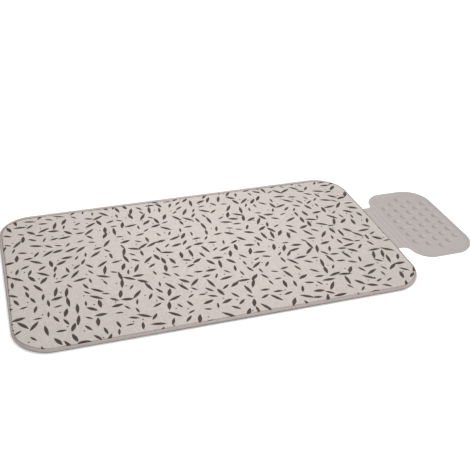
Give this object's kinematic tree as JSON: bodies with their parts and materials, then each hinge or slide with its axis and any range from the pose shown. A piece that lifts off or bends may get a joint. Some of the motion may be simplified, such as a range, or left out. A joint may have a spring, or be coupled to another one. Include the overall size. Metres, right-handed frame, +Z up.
{
  "type": "ironing pad",
  "caption": "Padded cotton ironing blanket with a bound edge and a folding silicone iron rest sewn under one short edge.",
  "frame": {"origin": "middle of the blanket's underside, on the table", "axes": "+X along the blanket's length towards the iron rest, +Y across the blanket, +Z up"},
  "size_m": [1.4618, 0.65, 0.0114],
  "materials": {
    "printed_cotton": "woven cotton, pale warm grey with a dark grey print",
    "foam": "open-cell padding foam",
    "felt": "needled polyester felt",
    "base_cotton": "plain woven backing cloth",
    "binding_tape": "grey bias tape",
    "thread": "grey polyester sewing thread",
    "silicone": "matt moulded silicone"
  },
  "bodies": {
    "blanket": {"base_cloth": "base_cotton", "felt_layer": "felt", "foam_layer": "foam", "top_cover": "printed_cotton", "edge_binding": "binding_tape", "binding_needle_thread": "thread", "binding_bobbin_thread": "thread", "rest_tongue": "silicone", "tongue_thread": "thread"},
    "rib_1": {"neck_rib_1": "silicone"},
    "rib_2": {"neck_rib_2": "silicone"},
    "rib_3": {"neck_rib_3": "silicone"},
    "plate": {"rest_plate": "silicone"}
  },
  "joints": [
    {"name": "fold_1", "type": "hinge", "parent": "blanket", "child": "rib_1", "pos_m": [0.6045, -0.013, 0.0008], "axis": [0, -1, 0], "range_deg": [0, 47]},
    {"name": "fold_2", "type": "hinge", "parent": "rib_1", "child": "rib_2", "pos_m": [0.6219, -0.013, 0.0008], "axis": [0, -1, 0], "range_deg": [0, 47]},
    {"name": "fold_3", "type": "hinge", "parent": "rib_2", "child": "rib_3", "pos_m": [0.6393, -0.013, 0.0008], "axis": [0, -1, 0], "range_deg": [0, 47]},
    {"name": "fold_4", "type": "hinge", "parent": "rib_3", "child": "plate", "pos_m": [0.6567, -0.013, 0.0008], "axis": [0, -1, 0], "range_deg": [0, 47]}
  ]
}
